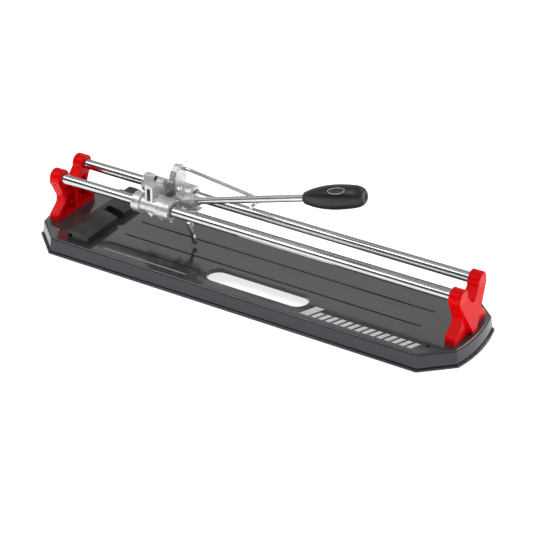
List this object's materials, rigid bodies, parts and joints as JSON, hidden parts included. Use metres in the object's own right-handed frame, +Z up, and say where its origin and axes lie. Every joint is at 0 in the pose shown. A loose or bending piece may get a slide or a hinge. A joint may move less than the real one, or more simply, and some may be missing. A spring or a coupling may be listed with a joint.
{
  "type": "tile cutter",
  "caption": "Manual tile cutter: pressed steel base, twin guide rods between end supports, sliding carriage with a hinged scoring lever and a side tile stop",
  "frame": {"origin": "centre of the footprint on the surface the base stands on", "axes": "+Z up, +X along the guide rods towards the lever handle, +Y away from the hand slot"},
  "size_m": [0.6854, 0.1834, 0.1903],
  "materials": {
    "deck_paint": "semi-gloss dark graphite paint",
    "support_red": "gloss red paint on a casting",
    "rod_chrome": "polished hard chrome",
    "cast_alloy": "tumbled cast aluminium",
    "zinc_steel": "bright zinc plate",
    "nickel_steel": "pale nickel plate",
    "black_plastic": "fine-textured moulded plastic",
    "grip_plastic": "satin black moulded plastic",
    "cap_plastic": "satin black moulded plastic",
    "foot_rubber": "matt black rubber",
    "bush_plastic": "machined nylon",
    "carbide": "ground carbide"
  },
  "bodies": {
    "base": {"base_pan": "deck_paint", "rubber_feet": "foot_rubber", "tile_stop": "black_plastic", "tile_stop_screws": "zinc_steel", "right_support": "support_red", "left_support": "support_red", "support_screws": "zinc_steel", "support_washers": "zinc_steel", "rod_set_screws": "zinc_steel", "front_rod": "rod_chrome", "rear_rod": "rod_chrome"},
    "carriage": {"carriage_body": "cast_alloy", "front_bushes": "bush_plastic", "rear_bushes": "bush_plastic", "breaker_yoke": "zinc_steel", "breaker_screws": "zinc_steel", "pivot_pin": "zinc_steel", "pivot_washers": "zinc_steel", "lever_rest": "rod_chrome", "lever_rest_screw": "zinc_steel"},
    "lever": {"lever_head": "cast_alloy", "lever_rod": "rod_chrome", "lever_lock_nut": "nickel_steel", "handle_grip": "grip_plastic", "grip_cap": "cap_plastic", "scoring_shank": "nickel_steel", "shank_nut": "nickel_steel", "wheel_axle": "zinc_steel"},
    "wheel": {"scoring_wheel": "carbide"}
  },
  "joints": [
    {"name": "carriage_slide", "type": "slide", "parent": "base", "child": "carriage", "axis": [1, 0, 0], "range_m": [-0.105, 0.4065]},
    {"name": "lever_pivot", "type": "hinge", "parent": "carriage", "child": "lever", "pos_m": [-0.134, 0, 0.0873], "axis": [0, -1, 0], "range_deg": [0, 50]},
    {"name": "wheel_spin", "type": "hinge", "parent": "lever", "child": "wheel", "pos_m": [-0.10516, 0, 0.03133], "axis": [0, 1, 0], "continuous": true}
  ]
}
